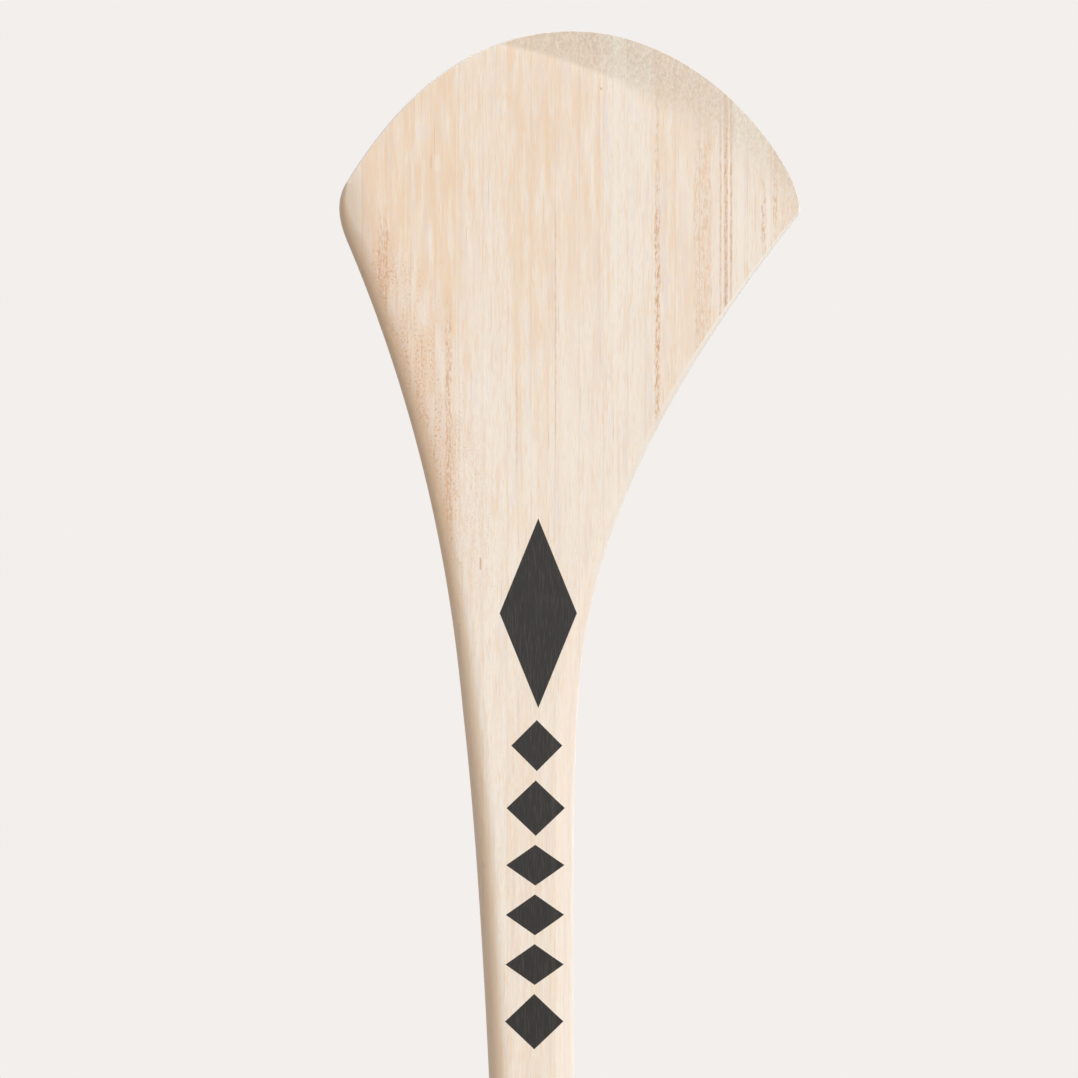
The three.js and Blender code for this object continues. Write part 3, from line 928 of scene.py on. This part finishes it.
def tapeGrid(graph):  # a flat sheet: how far a place is wound on, in turns, and its share round the section
    values = {
        "Size X": 1.0, "Size Y": 1.0,
        "Vertices X": round(tape["stepsPerTurn"] * tape["turns"]) + 1,
        "Vertices Y": tape["section"] + 1,
    }
    grid = graph.node("GeometryNodeMeshGrid", {}, values, "Mesh")
    x, y, _ = graph.split(graph.node("GeometryNodeInputPosition", {}, {}))
    return grid, (x + 0.5) * tape["turns"], y + 0.5


def tapeWidth(graph, size, wound, turn, share):  # the low edge of the turn, its width and the way into it
    values = {"W": turn * size["wanderByTurn"] + size["seed"], "Scale": 1.0}
    drift = graph.node("ShaderNodeTexNoise", dict(noise_dimensions="1D"), values)
    width = size["pitch"] + size["lap"]
    low = size["first"] + size["pitch"] * turn - width * 0.5 + (drift - 0.5) * size["wander"]
    high = low + width * wound.step(*tape["widens"])
    low = low.atLeast(size["bottom"])
    high = high.atMost(size["top"]).atLeast(low + size["leastWidth"])
    return low, high - low, (high - low) * share


def tapeOffset(graph, size, wound, turn, height, into, width, isOuter):  # how far off the wood it lies
    lapStart, lapEnd = size["lap"] + size["lapEdge"], size["lap"] + size["fall"]
    lapped = into.step(lapStart, lapEnd, 1.0, 0.0) * wound.step(*tape["laps"])
    wrapEnd = size["wrapTop"] + size["wrapFall"]
    under = height.step(size["wrapTop"], wrapEnd, size["onWrap"], size["base"])
    inner = under + size["thickness"] * size["stacked"] * lapped
    rim = (into.atMost(width - into) / size["edgeRound"]).atMost(1.0)
    endRow = (wound.atMost(tape["turns"] - wound) * size["endRound"]).atMost(1.0)
    place = graph.join(turn * size["crumpleByTurn"], height * size["crumpleByHeight"], size["seed"])
    full = size["thickness"] + (graph.noise(place, 2.0) - 0.5) * size["crumple"]
    thick = full * (rim * (2.0 - rim)).atLeast(0.0).root() * endRow
    return inner + isOuter * thick


def tapeTree():
    tree = bpy.data.node_groups.new("woundTape", "GeometryNodeTree")
    graph = Graph(tree)
    tree.interface.new_socket("Geometry", in_out="OUTPUT", socket_type="NodeSocketGeometry")
    sockets = {}
    for name in tapeSizes:
        sockets[name] = tree.interface.new_socket(name, in_out="INPUT", socket_type="NodeSocketFloat")
    given = tree.nodes.new("NodeGroupInput")
    size = {name: Wire(graph, given.outputs[name]) for name in tapeSizes}
    mesh, wound, aroundSection = tapeGrid(graph)
    turn = wound + tape["firstTurn"]

    # Round the section: its outer side from the low edge to the high one, then its inner side back
    isOuter = aroundSection < tape["outerShare"]
    onInner = (1 - isOuter) * ((1 - aroundSection) / (1 - tape["outerShare"]))
    share = isOuter * (aroundSection / tape["outerShare"]) + onInner
    share = 0.5 - 0.5 * (share * math.pi).cosine()
    low, width, into = tapeWidth(graph, size, wound, turn, share)
    height = low + into

    # Round the handle, which is flat for a little on its front and back
    offset = tapeOffset(graph, size, wound, turn, height, into, width, isOuter)
    angle = -(math.pi / 2) - turn * fullTurn
    cosine, sine = angle.cosine(), angle.sine()
    shift = (cosine * size["sideTurn"]).atLeast(-1.0).atMost(1.0) * size["flat"]
    across = size["radius"] + offset
    place = graph.join(shift + cosine * across, sine * across, height)

    roundPart = fullTurn * (handle["thickness"] / 2 + tapeSizes["thickness"])
    length = turn * (roundPart + 2 * (handle["width"] - handle["thickness"]))
    for name, value in (("tapeAlong", length), ("tapeAcross", into)):
        settings = dict(data_type="FLOAT", domain="POINT")
        values = {"Geometry": mesh, "Name": name, "Value": value}
        mesh = graph.node("GeometryNodeStoreNamedAttribute", settings, values)
    mesh = graph.node("GeometryNodeSetPosition", {}, {"Geometry": mesh, "Position": place})
    values = {"Geometry": mesh, "Distance": tape["weld"]}
    mesh = graph.node("GeometryNodeMergeByDistance", {}, values)
    mesh = graph.node("GeometryNodeRealizeInstances", {}, {"Geometry": mesh})
    values = {"Geometry": mesh, "Material": materials["grip_tape"]}
    mesh = graph.node("GeometryNodeSetMaterial", {}, values)
    plug(mesh, tree.nodes.new("NodeGroupOutput").inputs[0])
    return tree, sockets


def addTape():
    carrier = addObject("tapePath", bpy.data.meshes.new("tapePath"))
    modifier = carrier.modifiers.new("woundTape", "NODES")
    modifier.node_group, sockets = tapeTree()
    for name, socket in sockets.items():
        modifier[socket.identifier] = tapeSizes[name]
    bpy.context.view_layer.update()
    wound = carrier.evaluated_get(bpy.context.evaluated_depsgraph_get())
    tapeMesh = bpy.data.meshes.new_from_object(wound)
    bpy.data.objects.remove(carrier)
    faceOut(tapeMesh)
    addPiece("wound_tape", tapeMesh, "grip_tape", materials["grip_tape"], 50)


addTape()
print("tape wound")


# The tape's first turns round the hook, with the laps that cross it on a slant
wrapLaps = [
    dict(
        points=((-0.030, 0.0325), (-0.0235, 0.0258), (-0.017, 0.0212), (-0.0035, 0.016), (0.016, 0.0125)),
        proud=0.00045, fade=0.0065,
    ),
    dict(
        points=((-0.030, 0.0345), (-0.0225, 0.0278), (-0.017, 0.0238), (-0.0035, 0.019), (0.016, 0.0158)),
        proud=0.00018, fade=0.003,
    ),
    dict(
        points=((-0.030, 0.0425), (-0.018, 0.0355), (-0.012, 0.0325), (-0.002, 0.0292), (0.016, 0.0265)),
        proud=0.00025, fade=0.005,
    ),
]
wrap = dict(
    base=0.00125, thin=0.0006, thinning=(0.036, 0.0405), top=0.058, rim=0.011, rimDegrees=3.2,
    rimGap=0.00012, edgeShare=0.86, rows=150, backShift=0.006, lapEdge=(-0.0002, 0.0002),
    lapFlat=0.0006, ripple=0.00007, rippleUp=700, rippleAcross=220, nosePleats=0.00012,
    noseReach=(0.034, 0.042), noseHeights=(0.016, 0.022), pleatsRound=16, ringHeight=0.1, probe=0.001,
)


def clothRings():  # rings of the bare grip, and how far each point moves for each metre that they grow
    rings, grown = [np.array(hookRings(size, wrap["ringHeight"])) for size in (0, wrap["probe"])]
    return rings, (grown - rings) / wrap["probe"]


def rimHeight(x):
    return wrap["rim"] - math.tan(math.radians(wrap["rimDegrees"])) * x


def wrapThickness(x, y, height):
    grown = wrap["base"] + wrap["ripple"] * np.sin(height * wrap["rippleUp"] + x * wrap["rippleAcross"])
    atNose = ease(-x, *wrap["noseReach"]) * ease(height, *wrap["noseHeights"])
    pleats = np.sin(np.arctan2(y, -x - wrap["noseReach"][0]) * wrap["pleatsRound"])
    grown = grown + wrap["nosePleats"] * atNose * pleats
    for lap in wrapLaps:
        line = np.array(lap["points"])
        over = height - np.interp(x, line[:, 0], line[:, 1]) - wrap["backShift"] * (y > 0)
        shown = ease(over, *wrap["lapEdge"]) * (1 - ease(over, wrap["lapFlat"], lap["fade"]))
        grown = grown + lap["proud"] * shown
    return grown + (wrap["thin"] - grown) * ease(height, *wrap["thinning"])


def addWrap():
    rings, ways = clothRings()
    columns = rings.shape[1]
    outer, inner = [], []
    for row in range(wrap["rows"] + 1):  # even steps up the skin, from the rim to under the first turn
        level = row / wrap["rows"]
        ring, away = np.zeros((columns, 3)), np.zeros((columns, 3))
        for i in range(columns):
            run = rings[:, i, 2]
            start = rimHeight(rings[0, i, 0]) + wrap["rimGap"]
            wanted = start + (wrap["top"] - start) * level
            ring[i] = [np.interp(wanted, run, rings[:, i, k]) for k in range(3)]
            away[i] = [np.interp(wanted, run, ways[:, i, k]) for k in range(3)]
        grown = wrapThickness(*ring.T) * (wrap["edgeShare"] if row == 0 else 1)
        outer.append(ring + away * grown[:, None])
        inner.append(ring + away * hook["gap"])
    mesh = meshFrom("hook_tape", *skinOver([*inner[::-1], *outer], looped=True))
    addPiece("hook_tape", mesh, "hook_wrap", materials["hook_wrap"], 60)


addWrap()
print("hook wrapped")


# The cap of cloth over the butt, which meets the wrap at a rim
cap = dict(
    wall=0.0009, roundOver=0.0022, crown=0.0012, crownLimitShare=1.1, rows=14, roundSteps=10,
    innerSteps=13, underRim=0.0002, endUnderRim=0.0005, liningUnderRim=0.0001,
)


def endOfCap(ring, lift):
    share = np.abs(ring[:, 1]) / (handle["thickness"] / 2)
    crown = cap["crown"] * np.minimum(share, cap["crownLimitShare"]) ** 2
    return endHeight(ring[:, 0]) + lift + crown


def capOutside(foot, away):
    out = foot + away * (hook["gap"] + cap["wall"])
    rim = rimHeight(out[:, 0])
    edge = np.minimum(endOfCap(out, cap["roundOver"]), rim - cap["underRim"])
    rings = [raised(out, rim + (edge - rim) * share) for share in np.linspace(0, 1, cap["rows"])]
    for angle in np.linspace(0, math.pi / 2, cap["roundSteps"])[1:]:
        inward = cap["roundOver"] * (1 - math.cos(angle))
        drawn = foot + away * (hook["gap"] + cap["wall"] - inward)
        end = endOfCap(drawn, cap["roundOver"] * (1 - math.sin(angle)))
        rings.append(raised(drawn, np.minimum(end, rim - cap["underRim"] * (1 + angle))))
    top = rings[-1]
    for share in np.linspace(1, 0, cap["innerSteps"] + 1)[1:]:
        ring = shrunk(top, share)
        highest = rimHeight(ring[:, 0]) - cap["endUnderRim"]
        rings.append(raised(ring, np.minimum(endOfCap(ring, 0), highest)))
    return rings


def capLining(back):
    rings = []
    for share in np.linspace(0, 1, steps["cap"] + 1):
        ring = shrunk(back, share)
        highest = rimHeight(ring[:, 0]) - cap["liningUnderRim"]
        rings.append(raised(ring, np.minimum(endHeight(ring[:, 0]) + hook["capThickness"], highest)))
    rings.append(raised(back, rimHeight(back[:, 0])))
    return rings


def addCap():
    rings, ways = clothRings()
    lining = capLining(rings[0] + ways[0] * hook["gap"])
    mesh = meshFrom("butt_cap", *skinOver([*lining, *capOutside(rings[0], ways[0])]))
    addPiece("butt_cap", mesh, "butt_pad", materials["butt_pad"], 60)


addCap()
print("butt capped")


# The strip of tape that ends the winding, two layers thick where its own end laps
endBand = dict(
    bottom=0.3665, top=0.3898, under=0.0021, onWood=0.0004, thickness=0.0005,
    fall=(0.3716, 0.3750), rows=48, secondLayer=0.5, layerEnd=0.37, edgeRound=0.0004,
)


def addBand():
    rings, ways = clothRings()
    base, away = rings[-1], ways[-1]
    around = np.arctan2(base[:, 1], base[:, 0]) / fullTurn + 0.5
    second = endBand["secondLayer"] * ((around + endBand["layerEnd"]) % 1)
    layers = endBand["thickness"] * (1 + second)
    outer, inner = [], []
    for height in np.linspace(endBand["bottom"], endBand["top"], endBand["rows"]):
        fallen = float(ease(height, *endBand["fall"]))
        under = endBand["under"] + (endBand["onWood"] - endBand["under"]) * fallen
        edge = min(height - endBand["bottom"], endBand["top"] - height) / endBand["edgeRound"]
        edge = min(edge, 1)
        thick = layers * math.sqrt(max(0.0, edge * (2 - edge)))
        inner.append(raised(base + away * under, height))
        outer.append(raised(base + away * (under + thick)[:, None], height))
    mesh = meshFrom("end_band", *skinOver([*inner[::-1], *outer], looped=True))
    addPiece("end_band", mesh, "finish_band", materials["finish_band"], 50)


addBand()
print("grip finished")


# Floor, lights and world
studio = dict(
    paper=(243, 239, 236), floorSize=40, drop=0.0005, fade=(0.7, 2.6), leastPaper=0.35,
    roughness=0.9, specular=0.1, ambient=0.53, swing=0.35, brightSide=(0.98, 0.0, -0.15),
)
lamps = [
    dict(name="key", towards=(0.3, -0.88, 0.37), level=0.42, softness=30),
    dict(name="top", towards=(-0.45, -0.25, 0.86), level=0.22, softness=70),
    dict(name="rear", towards=(0.35, 0.93, 0.1), level=0.42, softness=50),
]


def addLamp(name, towards, level, softness):
    data = bpy.data.lights.new(name, "SUN")
    data.energy = math.pi * level
    data.angle = math.radians(softness)
    lamp = addObject(name, data)
    lamp.rotation_euler = Vector(towards).to_track_quat("Z", "Y").to_euler()


def paperFloor():  # its colour runs into the paper's, so no edge shows
    material, graph, inputs = newMaterial("floor", studio)
    inputs["Base Color"].default_value = tone(*studio["paper"])
    place = graph.node("ShaderNodeTexCoord", {}, {}, "Object")
    distance = graph.node("ShaderNodeVectorMath", dict(operation="LENGTH"), {0: place}, "Value")
    lit = Wire(graph, graph.tree.nodes["Principled BSDF"].outputs[0])
    values = {"Color": tone(*studio["paper"]), "Strength": 1.0}
    plain = graph.node("ShaderNodeEmission", {}, values)
    share = distance.step(*studio["fade"], studio["leastPaper"])
    mixed = graph.node("ShaderNodeMixShader", {}, {0: share, 1: lit, 2: plain})
    plug(mixed, graph.tree.nodes["Material Output"].inputs["Surface"])
    return material


def addFloor():
    half = studio["floorSize"] / 2
    corners = [(-half, -half), (half, -half), (half, half), (-half, half)]
    mesh = bpy.data.meshes.new("floor")
    mesh.from_pydata([(x, y, -studio["drop"]) for x, y in corners], [], [(0, 1, 2, 3)])
    mesh.materials.append(paperFloor())
    floor = addObject("floor", mesh)
    floor.visible_diffuse = False


def addWorld():  # soft light from all round, brighter on the right; the camera sees plain paper
    world = bpy.data.worlds.new("studio")
    scene.world = world
    world.use_nodes = True
    world.node_tree.nodes.clear()
    graph = Graph(world.node_tree)
    direction = graph.node("ShaderNodeTexCoord", {}, {}, "Generated")
    level = studio["ambient"] + studio["swing"] * graph.dot(direction, studio["brightSide"])
    values = {"Color": (1, 1, 1, 1), "Strength": level}
    light = graph.node("ShaderNodeBackground", {}, values)
    values = {"Color": tone(*studio["paper"]), "Strength": 1.0}
    paper = graph.node("ShaderNodeBackground", {}, values)
    ray = graph.node("ShaderNodeLightPath", {}, {}).socket.node.outputs
    ways = [Wire(graph, ray[f"Is {way} Ray"]) for way in ("Camera", "Glossy", "Transmission")]
    sees = ways[0].atLeast(ways[1]).atLeast(ways[2])
    mixed = graph.node("ShaderNodeMixShader", {}, {0: sees, 1: light, 2: paper})
    plug(mixed, world.node_tree.nodes.new("ShaderNodeOutputWorld").inputs[0])


addFloor()
addWorld()
for lamp in lamps:
    addLamp(**lamp)
print("studio lit")
